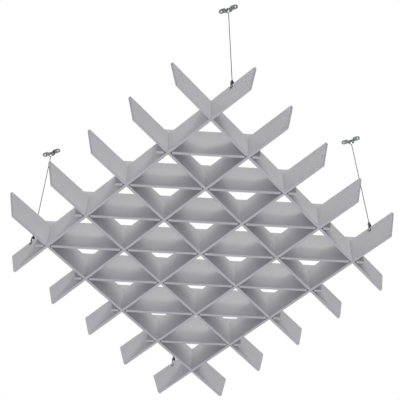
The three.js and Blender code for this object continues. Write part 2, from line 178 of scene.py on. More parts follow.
def keep_flats_flat(obj):
    """Large faces keep their own direction in the shading, and the narrow ones round edges follow."""
    weighted = obj.modifiers.new("flat faces", "WEIGHTED_NORMAL")
    weighted.keep_sharp = True
    weighted.weight = 90


def soften_edges(obj, width):
    bevel = obj.modifiers.new("soft edges", "BEVEL")
    bevel.width = width
    bevel.segments = 3
    bevel.limit_method = "ANGLE"
    bevel.angle_limit = math.radians(50)
    keep_flats_flat(obj)


def join_rings(bm, rings):
    for ring, following in zip(rings, rings[1:]):
        for n in range(len(ring)):
            m = (n + 1) % len(ring)
            bm.faces.new((ring[n], ring[m], following[m], following[n]))


def add_tube(bm, points, radius, sides, across):
    """A closed tube along points, its rings square to them; the direction across is never along it."""
    rings = []
    for k, point in enumerate(points):
        along = (points[min(k + 1, len(points) - 1)] - points[max(k - 1, 0)]).normalized()
        side = along.cross(across).normalized()
        up = side.cross(along)
        rings.append([bm.verts.new(point + radius * (math.cos(a) * side + math.sin(a) * up))
                      for a in (2 * math.pi * n / sides for n in range(sides))])
    join_rings(bm, rings)
    bm.faces.new(rings[0][::-1])
    bm.faces.new(rings[-1])


LATHE_SIDES = 48
LATHE_ANGLES = [2 * math.pi * n / LATHE_SIDES for n in range(LATHE_SIDES)]


def turn_profile(bm, profile):
    """A profile of (radius, height) turned about Z; it starts and ends on the axis or on itself."""
    rings = []
    for radius, z in profile:
        if radius == 0:
            rings.append([bm.verts.new((0, 0, z))])
        else:
            rings.append([bm.verts.new((p.x, p.y, z)) for p in circle((0, 0), radius, LATHE_SIDES)])
    if profile[0] == profile[-1]:
        bmesh.ops.delete(bm, geom=rings[-1], context="VERTS")
        rings[-1] = rings[0]
    for ring, following in zip(rings, rings[1:]):
        for n in range(LATHE_SIDES):
            m = (n + 1) % LATHE_SIDES
            corners = [ring[n % len(ring)], ring[m % len(ring)],
                       following[m % len(following)], following[n % len(following)]]
            bm.faces.new([c for k, c in enumerate(corners) if c is not corners[k - 1]])


# ---- Felt slats ----

CROSSINGS = 5  # along each slat of the square grid
ARM_TOP = 205 * MM  # a slat's top edge past its last crossing
ARM_BOTTOM = 174 * MM  # a slat's bottom edge past its last crossing
TIP_RADIUS = 3 * MM
SLOT_PLAY = 0.3 * MM
SEAT_GAP = 0.3 * MM
DIAGONAL_STUB = 41.4 * MM  # a diagonal slat past its last crossing
DIAGONAL_SLOT_PLAY = 1.7 * MM
REACH = (CROSSINGS - 1) / 2 * CELL
SLOT_HALF = FELT_THICKNESS / 2 + SLOT_PLAY
DIAGONAL_SLOT_HALF = FELT_THICKNESS * (math.sqrt(0.5) + 0.5) + DIAGONAL_SLOT_PLAY

SOFT_EDGE = 0.9 * MM  # radius of a slat's worn edges
EDGE_STEPS = 4
TIP_STEPS = 6
TONE_STEP = 0.618034  # scatters the tones of neighbouring boards


def slots(centres, half, mouth, floor):
    return [corner for x in centres for corner in
            ((x - half, mouth, 0), (x - half, floor, 0), (x + half, floor, 0), (x + half, mouth, 0))]


def grid_slat_outline(slotted_above):
    """X along the slat and Y up from its bottom edge, counter-clockwise."""
    steps = [k * CELL - REACH for k in range(CROSSINGS)]
    bottom = [(-REACH - ARM_BOTTOM, 0, TIP_RADIUS), (REACH + ARM_BOTTOM, 0, TIP_RADIUS)]
    top = [(REACH + ARM_TOP, GRID_HEIGHT, TIP_RADIUS), (-REACH - ARM_TOP, GRID_HEIGHT, TIP_RADIUS)]
    if slotted_above:
        mouths = slots(steps, SLOT_HALF, GRID_HEIGHT, (GRID_HEIGHT - SEAT_GAP) / 2)[::-1]
        return rounded([*bottom, top[0], *mouths, top[1]], TIP_STEPS)
    mouths = slots(steps, SLOT_HALF, 0, (GRID_HEIGHT + SEAT_GAP) / 2)
    return rounded([bottom[0], *mouths, bottom[1], *top], TIP_STEPS)


def diagonal_slat_outline(crossings):
    spacing = CELL * math.sqrt(2)
    last = (crossings - 1) / 2 * spacing
    end = last + DIAGONAL_STUB
    steps = [k * spacing - last for k in range(crossings)]
    mouths = slots(steps, DIAGONAL_SLOT_HALF, 0, GRID_HEIGHT + SEAT_GAP)
    return rounded([(-end, 0, 0), *mouths, (end, 0, 0), (end, DIAGONAL_HEIGHT, TIP_RADIUS),
                    (-end, DIAGONAL_HEIGHT, TIP_RADIUS)], TIP_STEPS)


def board_levels():
    """(inset, place across the board) of each ring, from one face to the other."""
    turn = [math.pi / 2 * k / EDGE_STEPS for k in range(EDGE_STEPS + 1)]
    half = FELT_THICKNESS / 2 - SOFT_EDGE
    edge = [(SOFT_EDGE * (1 - math.cos(a)), half + SOFT_EDGE * math.sin(a)) for a in turn]
    return [(i, -y) for i, y in edge[::-1]] + edge


def felt_board(node, points, place, tone):
    """A board with worn edges; the faces round its rim are cut felt."""
    materials = [felt, cut_felt]
    bm = bmesh.new()
    rings = [[bm.verts.new((p.x, y, p.y)) for p in inset(points, i)] for i, y in board_levels()]
    join_rings(bm, rings)
    bm.faces.new(rings[0])
    bm.faces.new(rings[-1])
    half = FELT_THICKNESS / 2 - SOFT_EDGE
    for face in bm.faces:
        if all(abs(v.co.y) < half + SOFT_EDGE / 2 for v in face.verts):
            face.material_index = materials.index(cut_felt)
    board = add_object(f"felt_{node}", bm, materials, place, smooth_under=40)
    tones = board.data.attributes.new("board_tone", "FLOAT", "POINT")
    tones.data.foreach_set("value", [tone] * len(board.data.vertices))
    keep_flats_flat(board)
    stand_for(board, node, "lattice")


def tone_of(number):
    """A steady scatter between 0 and 1 from board to board."""
    return (number * TONE_STEP) % 1


def make_lattice():
    for k in range(1, CROSSINGS + 1):
        for kind, turn, slotted_above in (("bearer", -EIGHTH_TURN, True), ("cross", EIGHTH_TURN, False)):
            node = f"{kind}_slat_{k}"
            centre = middle(node)
            place = Matrix.Translation((centre.x, centre.y, GRID_BOTTOM)) @ Matrix.Rotation(turn, 4, "Z")
            tone = tone_of(k + CROSSINGS * slotted_above)
            felt_board(node, grid_slat_outline(slotted_above), place, tone)
    rows = 2 * CROSSINGS - 3
    for row in range(1, rows + 1):
        node = f"diagonal_slat_{row}"
        crossings = CROSSINGS - abs(row - (CROSSINGS - 1))
        place = Matrix.Translation((0, middle(node).y, GRID_BOTTOM))
        felt_board(node, diagonal_slat_outline(crossings), place, tone_of(row + 2 * CROSSINGS))


# ---- Bent sheet metal ----

HOLE_SIDES = 32
FILL_INSIDE = 1  # triangles fill the outer loop
MERGE_DISTANCE = 1e-7
HOLE_SHARE = 0.999  # of a hole's radius, within which a triangle's middle is cut out


def boundary_runs(triangles):
    """Directed edges that belong to one triangle only."""
    edges = {(t[k], t[(k + 1) % 3]) for t in triangles for k in range(3)}
    return [(a, b) for a, b in edges if (b, a) not in edges]


def cut_pattern(border, holes, bend_lines, reach):
    """Triangles of a flat pattern with round holes, split along each bend line."""
    points, edges = [], []

    def add_loop(loop):
        start = len(points)
        points.extend(loop)
        edges.extend((start + k, start + (k + 1) % len(loop)) for k in range(len(loop)))

    add_loop(border)
    for centre, radius in holes:
        add_loop(circle(centre, radius, HOLE_SIDES))
    for u in bend_lines:
        points.extend((Vector((u, -reach)), Vector((u, reach))))
        edges.append((len(points) - 2, len(points) - 1))
    places, _, faces, *_ = delaunay_2d_cdt(points, edges, [], FILL_INSIDE, MERGE_DISTANCE)

    def is_cut_out(face):
        centre = sum((places[n] for n in face), Vector((0, 0))) / 3
        return any((centre - Vector(c)).length < radius * HOLE_SHARE for c, radius in holes)

    return places, [face for face in faces if not is_cut_out(face)]


class BendLine:
    """The middle of a bent strap, from the side: a line of points in X and Z."""

    def __init__(self, corners, steps):
        self.points = rounded(corners, steps, closed=False)
        self.along = [0.0]
        for a, b in zip(self.points, self.points[1:]):
            self.along.append(self.along[-1] + (b - a).length)
        self.length = self.along[-1]
        self.marks = [u - self.length / 2 for u in self.along]
        runs = [(b - a).normalized() for a, b in zip(self.points, self.points[1:])]
        self.normals = []
        for k in range(len(self.points)):
            a, b = runs[max(k - 1, 0)], runs[min(k, len(runs) - 1)]
            n = Vector((-a.y - b.y, a.x + b.x))
            self.normals.append(n / (1 + a.dot(b)))

    def place(self, u, out):
        """The point at u from the strap's middle, lifted off the line by out."""
        k = 0
        while k < len(self.marks) - 2 and u > self.marks[k + 1]:
            k += 1
        share = (u - self.marks[k]) / (self.marks[k + 1] - self.marks[k])
        point = self.points[k].lerp(self.points[k + 1], share)
        return point + self.normals[k].lerp(self.normals[k + 1], share) * out


def bent_strap(name, border, holes, line, material, place, edge):
    """A flat pattern bent along a line; edge is the width of its softened edges."""
    reach = max(abs(p.y) for p in border) + MM
    flat, triangles = cut_pattern(border, holes, line.marks[1:-1], reach)
    bm = bmesh.new()
    sides = []
    for out in (STRAP / 2, -STRAP / 2):
        bent = [line.place(p.x, out) for p in flat]
        sides.append([bm.verts.new((q.x, p.y, q.y)) for p, q in zip(flat, bent)])
    top, bottom = sides
    for a, b, c in triangles:
        bm.faces.new((top[a], top[b], top[c]))
        bm.faces.new((bottom[c], bottom[b], bottom[a]))
    for a, b in boundary_runs(triangles):
        bm.faces.new((top[b], top[a], bottom[a], bottom[b]))
    outside = [v for v in bm.verts if not v.link_faces]
    bmesh.ops.delete(bm, geom=outside, context="VERTS")
    strap = add_object(name, bm, [material], place, smooth_under=35)
    soften_edges(strap, edge)
    return strap


# ---- Ceiling brackets ----

STRAP = 2 * MM
BRACKET_WIDTH = 20 * MM
BRACKET_TURN = math.radians(-24)
SCREW_SPACING = 59.5 * MM
SCREW_HOLE_RADIUS = 2.8 * MM
HAT_SPAN = 24.5 * MM
HAT_DEPTH = 14 * MM
HAT_BEND = 2.5 * MM
PLATE_HOLE_RADIUS = 3.7 * MM
BRACKET_EDGE = 0.35 * MM
BEND_STEPS = 6
TAB_STEPS = 24


def ceiling_bracket(k):
    end = (SCREW_SPACING + BRACKET_WIDTH) / 2
    leg = (HAT_SPAN - STRAP) / 2
    bend = HAT_BEND - STRAP / 2
    high, low = -STRAP / 2, STRAP / 2 - HAT_DEPTH
    line = BendLine([(-end, high, 0), (-leg, high, bend), (-leg, low, bend),
                     (leg, low, bend), (leg, high, bend), (end, high, 0)], BEND_STEPS)
    half = BRACKET_WIDTH / 2
    screw = line.length / 2 - half
    border = (arc((screw, 0), half, -math.pi / 2, math.pi, TAB_STEPS)
              + arc((-screw, 0), half, math.pi / 2, math.pi, TAB_STEPS))
    holes = [((-screw, 0), SCREW_HOLE_RADIUS), ((screw, 0), SCREW_HOLE_RADIUS),
             ((0, 0), PLATE_HOLE_RADIUS)]
    centre = middle(f"ceiling_bracket_{k}")
    place = Matrix.Translation((centre.x, centre.y, 0)) @ Matrix.Rotation(BRACKET_TURN, 4, "Z")
    bracket = bent_strap(f"bracket_{k}", border, holes, line, zinc, place, BRACKET_EDGE)
    stand_for(bracket, f"ceiling_bracket_{k}", "root")


# ---- Ceiling barrels ----

BALL_RADIUS = 4.6 * MM
NECK_RADIUS = 2.48 * MM
BARREL_RADIUS = 3.8 * MM
BARREL_LENGTH = 15 * MM
NOSE_LENGTH = 5 * MM
NOSE_WALL = 0.9 * MM
CABLE_SOCKET = 8 * MM
BARREL_CHAMFER = 0.4 * MM
BARREL_GROOVE = 0.3 * MM
GROOVE_FROM_END = 3 * MM
BALL_STEPS = 14
CABLE_DIAMETER = 3 * MM
FIT = 0.3 * MM  # between metal pieces that move on each other
SOCKET_RADIUS = CABLE_DIAMETER / 2 + FIT


def ceiling_barrel(k):
    """A ball head, a neck, a turned barrel with two fine grooves, and a tapered nose."""
    node = f"ceiling_barrel_{k}"
    low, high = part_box(node)
    pivot = high.z - BALL_RADIUS
    tip = low.z
    nose = tip + NOSE_LENGTH
    top = nose + BARREL_LENGTH
    chamfer, groove = BARREL_CHAMFER, BARREL_GROOVE
    start = -math.acos(NECK_RADIUS / BALL_RADIUS)
    ball = arc((0, pivot), BALL_RADIUS, start, math.pi / 2 - start, BALL_STEPS)[:-1]
    grooves = []
    for z in (nose + GROOVE_FROM_END, top - GROOVE_FROM_END):
        grooves += [(BARREL_RADIUS, z - groove), (BARREL_RADIUS - groove, z - groove / 2),
                    (BARREL_RADIUS - groove, z + groove / 2), (BARREL_RADIUS, z + groove)]
    profile = [(0, tip + CABLE_SOCKET), (SOCKET_RADIUS, tip + CABLE_SOCKET),
               (SOCKET_RADIUS, tip + chamfer / 2), (SOCKET_RADIUS + chamfer / 2, tip),
               (SOCKET_RADIUS + NOSE_WALL - chamfer / 2, tip),
               (SOCKET_RADIUS + NOSE_WALL, tip + chamfer / 2), (BARREL_RADIUS, nose), *grooves,
               (BARREL_RADIUS, top - chamfer), (BARREL_RADIUS - chamfer, top),
               (NECK_RADIUS + chamfer, top), (NECK_RADIUS, top + chamfer),
               *[(p.x, p.y) for p in ball], (0, pivot + BALL_RADIUS)]
    bm = bmesh.new()
    turn_profile(bm, profile)
    barrel = add_object(f"barrel_{k}", bm, [polished], hanging_place(k), smooth_under=30)
    stand_for(barrel, node, f"cable_{k}")


# ---- Wire cables ----

STRANDS = 6  # round one more in the middle
STRAND_RADIUS = CABLE_DIAMETER / 6
LAY_LENGTH = 19 * MM  # of one turn of the strands
RINGS_PER_TURN = 12
STRAND_SIDES = 8


def cable_piece(k):
    """A stranded rope, straight and taut from its barrel to its gripper."""
    low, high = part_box(f"cable_{k}")
    length = high.z - low.z
    place = hanging_place(k)
    bm = bmesh.new()
    count = round(length / LAY_LENGTH * RINGS_PER_TURN)
    heights = [high.z - length * n / count for n in range(count + 1)]
    for strand in range(STRANDS):
        start = 2 * math.pi * strand / STRANDS
        helix = []
        for z in heights:
            angle = start + 2 * math.pi * z / LAY_LENGTH
            out = Vector((math.cos(angle), math.sin(angle), 0))
            helix.append(2 * STRAND_RADIUS * out + Vector((0, 0, z)))
        add_tube(bm, helix, STRAND_RADIUS, STRAND_SIDES, Y_AXIS)
    core = [Vector((0, 0, z)) for z in (high.z, low.z)]
    add_tube(bm, core, STRAND_RADIUS, STRAND_SIDES, Y_AXIS)
    cable = add_object(f"wire_cable_{k}", bm, [wire], place, smooth_under=60)
    stand_for(cable, f"cable_{k}", f"cable_{k}")
    path = [(place.translation.x, place.translation.y, z) for z in heights[::RINGS_PER_TURN]]
    path.append((place.translation.x, place.translation.y, low.z))


# ---- Saddles, bolts and nuts ----

SADDLE_RISE = 29 * MM  # over the slats' top edges
SADDLE_LAP = 23 * MM  # down the slat's faces
SADDLE_EYE = 11 * MM
SADDLE_LEG = 6.5 * MM
SADDLE_CROWN = 8.6 * MM
CROWN_FLARE = 4 * MM
SADDLE_SHOULDER = 2 * MM
SADDLE_BEND = 0.8 * MM
SADDLE_EDGE = 0.45 * MM
WAIST_CURVE = 4 * MM
WAIST_STEPS = 5
EYE_STEPS = 32
GRIPPER_LIP = 3.1 * MM
GRIPPER_NECK = 2.5 * MM
BOLT_RADIUS = 2 * MM
BOLT_DOWN = SADDLE_LAP - SADDLE_EYE / 2


def saddle(k):
    """A strap bent over the slat: a crown that holds the gripper, two legs, and an eye on each."""
    leg = FELT_THICKNESS / 2 + SLOT_PLAY + STRAP / 2
    crown = GRIPPER_LIP + SADDLE_BEND + STRAP / 2
    top = SADDLE_RISE - STRAP / 2
    bend = SADDLE_BEND + STRAP / 2
    line = BendLine([(-leg, -SADDLE_LAP, 0), (-leg, SADDLE_SHOULDER, 2 * bend),
                     (-crown, top, bend), (crown, top, bend),
                     (leg, SADDLE_SHOULDER, 2 * bend), (leg, -SADDLE_LAP, 0)], BEND_STEPS)
    eye = line.length / 2 - SADDLE_EYE / 2
    flare = crown + 2 * CROWN_FLARE
    turn = math.acos(SADDLE_LEG / SADDLE_EYE)
    ring = arc((eye, 0), SADDLE_EYE / 2, -math.pi / 2 - turn, math.pi + 2 * turn, EYE_STEPS)
    waist = [(flare, SADDLE_LEG / 2, WAIST_CURVE),
             (flare - CROWN_FLARE, SADDLE_CROWN / 2, WAIST_CURVE)]
    upper = rounded([(ring[-1].x, ring[-1].y, 0), *waist, *[(-u, v, r) for u, v, r in waist[::-1]],
                     (-ring[-1].x, ring[-1].y, 0)], WAIST_STEPS, closed=False)
    border = ring + upper[1:-1] + [-p for p in ring] + [-p for p in upper[1:-1]]
    holes = [((eye, 0), BOLT_RADIUS + FIT), ((-eye, 0), BOLT_RADIUS + FIT),
             ((0, 0), GRIPPER_NECK + FIT)]
    place = hanging_place(k) @ Matrix.Translation((0, 0, GRID_TOP))
    strap = bent_strap(f"strap_saddle_{k}", border, holes, line, nickel, place, SADDLE_EDGE)
    stand_for(strap, f"saddle_{k}", f"gripper_{k}")


BOLT_HEAD_RADIUS = 3.8 * MM
BOLT_HEAD_HEIGHT = 2.2 * MM
SOCKET_FLATS = 2.5 * MM  # of the hexagonal socket in the bolt's head
SOCKET_DEPTH = 1.4 * MM
SOCKET_RIM = SOCKET_FLATS * 0.66
BOLT_DOME = (  # radius, and height from the top of the head
    (2.4 * MM, 0.08 * MM), (3.1 * MM, 0.4 * MM), (3.6 * MM, 0.95 * MM), (BOLT_HEAD_RADIUS, 1.5 * MM))
HEAD_CHAMFER = 0.15 * MM
NUT_FLATS = 7 * MM
NUT_HEIGHT = 3.2 * MM
BOLT_END = 0.8 * MM
GRIP_HALF = FELT_THICKNESS / 2 + SLOT_PLAY + STRAP + SEAT_GAP
THREAD_PITCH = 0.7 * MM
THREAD_DEPTH = 0.25 * MM
THREAD_START = GRIP_HALF - 1.5 * MM
BOLT_TIP_HEIGHT = 0.3 * MM
BOLT_TIP_INSET = 0.5 * MM
NUT_FACE = 0.98  # of its flats, to where the chamfer starts
NUT_SLOPE = math.tan(math.radians(30))
BORE_CHAMFER = 0.3 * MM


def hexagon_radius(angle, flats):
    """From a hexagon's middle to its side, in the direction of angle."""
    turn = math.pi / 3
    return flats / 2 / math.cos((angle + turn / 2) % turn - turn / 2)


def ring_at(bm, height, radius_of):
    return [bm.verts.new((radius_of(a) * math.cos(a), radius_of(a) * math.sin(a), height))
            for a in LATHE_ANGLES]


def across_slat(k):
    """At the bolt of point k, with Z along the bolt, away from its head."""
    bolt = Matrix.Translation((0, 0, GRID_TOP - BOLT_DOWN))
    return hanging_place(k) @ bolt @ Matrix.Rotation(math.pi / 2, 4, "Y")


def cross_bolt(k):
    """A domed head with a hexagonal socket, a shank and a threaded end."""
    bm = bmesh.new()
    head = -GRIP_HALF - BOLT_HEAD_HEIGHT
    end = GRIP_HALF + NUT_HEIGHT + BOLT_END
    socket = [ring_at(bm, z, lambda a: hexagon_radius(a, SOCKET_FLATS))
              for z in (head + SOCKET_DEPTH, head)]
    dome = [(SOCKET_RIM, head), *[(radius, head + height) for radius, height in BOLT_DOME],
            (BOLT_HEAD_RADIUS, -GRIP_HALF - HEAD_CHAMFER),
            (BOLT_HEAD_RADIUS - HEAD_CHAMFER, -GRIP_HALF), (BOLT_RADIUS, -GRIP_HALF)]
    thread = []
    z = THREAD_START
    while z < end - THREAD_PITCH:
        thread += [(BOLT_RADIUS - THREAD_DEPTH, z), (BOLT_RADIUS, z + THREAD_PITCH / 2)]
        z += THREAD_PITCH
    shank = [*thread, (BOLT_RADIUS - THREAD_DEPTH, end - BOLT_TIP_HEIGHT),
             (BOLT_RADIUS - BOLT_TIP_INSET, end)]
    rings = socket + [ring_at(bm, z, lambda a, r=r: r) for r, z in dome + shank]
    join_rings(bm, rings)
    bm.faces.new(rings[0])
    bm.faces.new(rings[-1])
    bolt = add_object(f"bolt_{k}", bm, [bolt_zinc], across_slat(k), smooth_under=32)
    stand_for(bolt, f"cross_bolt_{k}", "lattice")


def cross_nut(k):
    """A hexagon with both ends chamfered, and a bore with chamfered mouths."""
    bm = bmesh.new()
    low, high = GRIP_HALF, GRIP_HALF + NUT_HEIGHT
    bore = BOLT_RADIUS + FIT
    face = NUT_FLATS / 2 * NUT_FACE

    def wall_ring(height, sign):
        """Where the chamfer of one end meets the sides; it dips at the corners."""
        ring = []
        for a in LATHE_ANGLES:
            r = hexagon_radius(a, NUT_FLATS)
            z = height - sign * (r - face) * NUT_SLOPE
            ring.append(bm.verts.new((r * math.cos(a), r * math.sin(a), z)))
        return ring

    def round_ring(height, radius):
        return ring_at(bm, height, lambda a: radius)

    rings = [round_ring(low + BORE_CHAMFER, bore), round_ring(low, bore + BORE_CHAMFER),
             round_ring(low, face), wall_ring(low, -1), wall_ring(high, 1),
             round_ring(high, face), round_ring(high, bore + BORE_CHAMFER),
             round_ring(high - BORE_CHAMFER, bore)]
    join_rings(bm, rings + rings[:1])
    place = across_slat(k) @ Matrix.Rotation(math.pi / 6, 4, "Z")
    nut = add_object(f"nut_{k}", bm, [bolt_zinc], place, smooth_under=30)
    stand_for(nut, f"cross_nut_{k}", "lattice")


# ---- Cable grippers ----

GRIPPER_WALL = 0.7 * MM
GRIPPER_CHAMFER = 0.25 * MM
RIBS = 5
RIB_START = 2 * MM
RIB_PITCH = 0.9 * MM
RIB_DEPTH = 0.25 * MM
LIP_HEIGHT = 1.4 * MM
PLUNGER_RADIUS = 2.4 * MM
PLUNGER_OUT = 3 * MM
PLUNGER_TRAVEL = 1.5 * MM
PLUNGER_IN = 1.8 * MM
PLUNGER_EDGE = 0.15 * MM
COLLET_HEIGHT = 2.8 * MM
COLLET_TOP_RADIUS = 2.6 * MM
COLLET_TAPER = math.radians(7)
SPRING_LENGTH = 3 * MM
SPRING_TURNS = 2.5
SPRING_RADIUS = 2.4 * MM  # to the middle of its wire
SPRING_WIRE = 0.25 * MM  # radius
COIL_STEPS = 24  # in one turn
COIL_SIDES = 10
CONE_PLAY = FIT / math.cos(COLLET_TAPER)
CHAMBER_RADIUS = COLLET_TOP_RADIUS + COLLET_HEIGHT * math.tan(COLLET_TAPER) + CONE_PLAY
GRIPPER_RADIUS = CHAMBER_RADIUS + GRIPPER_WALL
CHAMBER_FLOOR = SEAT_GAP + GRIPPER_WALL
COLLET_BOTTOM = CHAMBER_FLOOR + SEAT_GAP + SPRING_LENGTH + SEAT_GAP
COLLET_TOP = COLLET_BOTTOM + COLLET_HEIGHT
PLUNGER_BOTTOM = COLLET_TOP + SEAT_GAP
GRIPPER_HEIGHT = PLUNGER_BOTTOM + PLUNGER_IN


def on_crown(k):
    return hanging_place(k) @ Matrix.Translation((0, 0, GRID_TOP + SADDLE_RISE))


def cable_gripper(k):
    """A hollow turned body over the saddle's crown, its neck swaged under it."""
    lip_top = -STRAP - SEAT_GAP
    lip_bottom = lip_top - LIP_HEIGHT
    shoulder = (GRIPPER_RADIUS - PLUNGER_RADIUS - FIT) / 2
    chamfer, groove = GRIPPER_CHAMFER, RIB_DEPTH
    ribs = []
    for n in range(RIBS):
        z = RIB_START + n * RIB_PITCH
        ribs += [(GRIPPER_RADIUS, z), (GRIPPER_RADIUS - groove, z + groove),
                 (GRIPPER_RADIUS - groove, z + 2 * groove), (GRIPPER_RADIUS, z + 3 * groove)]
    profile = [(SOCKET_RADIUS, lip_bottom), (GRIPPER_LIP - 3 * chamfer, lip_bottom),
               (GRIPPER_LIP - chamfer, lip_bottom + chamfer), (GRIPPER_LIP, lip_bottom + 3 * chamfer),
               (GRIPPER_LIP, lip_top - chamfer), (GRIPPER_LIP - chamfer, lip_top),
               (GRIPPER_NECK, lip_top), (GRIPPER_NECK, SEAT_GAP), (GRIPPER_RADIUS - chamfer, SEAT_GAP),
               (GRIPPER_RADIUS, SEAT_GAP + chamfer), *ribs,
               (GRIPPER_RADIUS, GRIPPER_HEIGHT - 2 * shoulder),
               (GRIPPER_RADIUS - shoulder * 0.3, GRIPPER_HEIGHT - shoulder),
               (GRIPPER_RADIUS - shoulder, GRIPPER_HEIGHT - shoulder * 0.3),
               (GRIPPER_RADIUS - 1.4 * shoulder, GRIPPER_HEIGHT), (PLUNGER_RADIUS + FIT, GRIPPER_HEIGHT),
               (PLUNGER_RADIUS + FIT, COLLET_TOP), (COLLET_TOP_RADIUS + CONE_PLAY, COLLET_TOP),
               (CHAMBER_RADIUS, COLLET_BOTTOM), (CHAMBER_RADIUS, CHAMBER_FLOOR),
               (SOCKET_RADIUS, CHAMBER_FLOOR), (SOCKET_RADIUS, lip_bottom)]
    bm = bmesh.new()
    turn_profile(bm, profile)
    gripper = add_object(f"gripper_{k}_body", bm, [nickel], on_crown(k), smooth_under=32)
    stand_for(gripper, f"cable_gripper_{k}", f"gripper_{k}")


def gripper_plunger(k):
    """The sleeve round the cable that is pressed down to free it."""
    tip = GRIPPER_HEIGHT + PLUNGER_OUT
    wall = (PLUNGER_RADIUS - SOCKET_RADIUS) / 2
    edge = PLUNGER_EDGE
    profile = [(SOCKET_RADIUS, PLUNGER_BOTTOM), (PLUNGER_RADIUS - edge, PLUNGER_BOTTOM),
               (PLUNGER_RADIUS, PLUNGER_BOTTOM + edge),
               (PLUNGER_RADIUS, GRIPPER_HEIGHT + PLUNGER_TRAVEL),
               (SOCKET_RADIUS + wall, tip - edge), (SOCKET_RADIUS + wall - edge, tip),
               (SOCKET_RADIUS, tip), (SOCKET_RADIUS, PLUNGER_BOTTOM)]
    bm = bmesh.new()
    turn_profile(bm, profile)
    plunger = add_object(f"plunger_{k}_sleeve", bm, [nickel], on_crown(k), smooth_under=30)
    stand_for(plunger, f"gripper_plunger_{k}", f"plunger_{k}")


def gripper_spring(k):
    """The coil under the collet."""
    bottom = CHAMBER_FLOOR + SEAT_GAP
    steps = round(SPRING_TURNS * COIL_STEPS)
    rise = SPRING_LENGTH - 2 * SPRING_WIRE
    coil = []
    for n in range(steps + 1):
        angle = 2 * math.pi * SPRING_TURNS * n / steps
        height = bottom + SPRING_WIRE + rise * n / steps
        x, y = SPRING_RADIUS * math.cos(angle), SPRING_RADIUS * math.sin(angle)
        coil.append(Vector((x, y, height)))
    bm = bmesh.new()
    add_tube(bm, coil, SPRING_WIRE, COIL_SIDES, Z_AXIS)
    spring = add_object(f"coil_spring_{k}", bm, [polished], on_crown(k), smooth_under=60)
    stand_for(spring, f"gripper_spring_{k}", f"gripper_{k}")
    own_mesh(spring)


def gripper_collet(k):
    """The solid's own shape, with its finish."""
    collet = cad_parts[f"gripper_collet_{k}"].data
    collet.materials.clear()
    collet.materials.append(polished)


# ---- Materials ----

MIX_COLOURS, MIX_RESULT = (6, 7), 2  # the colour sockets of a Mix node
NOISE_RANGE = (0.3, 0.7)  # where nearly all of a noise's values lie


class Nodes:
    """Short calls for the nodes of one material."""

    def __init__(self, name):
        self.material = bpy.data.materials.new(name)
        self.material.use_nodes = True
        self.tree = self.material.node_tree
        self.shader = self.tree.nodes["Principled BSDF"]

    def add(self, kind, **settings):
        node = self.tree.nodes.new(kind)
        for key, value in settings.items():
            setattr(node, key, value)
        return node

    def link(self, output, target):
        self.tree.links.new(output, target)

    def place(self, scale=(1, 1, 1), turn=(0, 0, 0)):
        """The object's own coordinates, stretched and turned."""
        source = self.add("ShaderNodeTexCoord")
        mapping = self.add("ShaderNodeMapping")
        mapping.inputs["Scale"].default_value = scale
        mapping.inputs["Rotation"].default_value = turn
        self.link(source.outputs["Object"], mapping.inputs["Vector"])
        return mapping.outputs["Vector"]

    def noise(self, where, scale, detail=2.0, roughness=0.5, distortion=0.0):
        node = self.add("ShaderNodeTexNoise")
        node.inputs["Scale"].default_value = scale
        node.inputs["Detail"].default_value = detail
        node.inputs["Roughness"].default_value = roughness
        node.inputs["Distortion"].default_value = distortion
        self.link(where, node.inputs["Vector"])
        return node.outputs["Fac"]

    def remap(self, value, source, target):
        """Takes the numbers of one range to another."""
        node = self.add("ShaderNodeMapRange")
        for key, number in zip(("From Min", "From Max", "To Min", "To Max"), (*source, *target)):
            node.inputs[key].default_value = number
        self.link(value, node.inputs["Value"])
        return node.outputs["Result"]

    def math(self, operation, a, b):
        node = self.add("ShaderNodeMath", operation=operation)
        for socket, value in zip(node.inputs, (a, b)):
            if isinstance(value, (int, float)):
                socket.default_value = value
            else:
                self.link(value, socket)
        return node.outputs[0]

    def blend(self, share, low, high):
        """A colour between two, by share."""
        node = self.add("ShaderNodeMix", data_type="RGBA")
        self.link(share, node.inputs["Factor"])
        for key, colour in zip(MIX_COLOURS, (low, high)):
            if isinstance(colour, tuple):
                node.inputs[key].default_value = (*colour, 1)
            else:
                self.link(colour, node.inputs[key])
        return node.outputs[MIX_RESULT]

    def bump(self, height, distance, strength, under=None):
        node = self.add("ShaderNodeBump")
        node.inputs["Distance"].default_value = distance
        node.inputs["Strength"].default_value = strength
        self.link(height, node.inputs["Height"])
        if under:
            self.link(under, node.inputs["Normal"])
        return node.outputs["Normal"]


FELT_DARK, FELT_LIGHT = (0.388, 0.386, 0.4), (0.495, 0.493, 0.51)
EDGE_DARK, EDGE_LIGHT = (0.373, 0.371, 0.384), (0.502, 0.5, 0.517)
BOARD_TONES = (-0.07, 0.07)
FIBRE_STRETCH = 0.16
FIBRE_TURNS = (0.4, 1.45, -0.75)
FIBRE_SCALE = 900
FELT_SHEEN = 0.05
FELT_SHEEN_ROUGHNESS = 0.6


def fibres(n):
    """Short fibres at several angles in a board's face: the strongest of a few stretched noises."""
    strongest = None
    for turn in FIBRE_TURNS:
        where = n.place((FIBRE_STRETCH, 1, 1), (0, turn, 0))
        value = n.noise(where, FIBRE_SCALE, detail=1.0)
        strongest = value if strongest is None else n.math("MAXIMUM", strongest, value)
    return strongest


def board_tone(n):
    tone = n.add("ShaderNodeAttribute", attribute_name="board_tone")
    return n.remap(tone.outputs["Fac"], (0, 1), BOARD_TONES)


def set_felt_gloss(n, specular):
    n.shader.inputs["Specular IOR Level"].default_value = specular
    n.shader.inputs["Sheen Weight"].default_value = FELT_SHEEN
    n.shader.inputs["Sheen Roughness"].default_value = FELT_SHEEN_ROUGHNESS


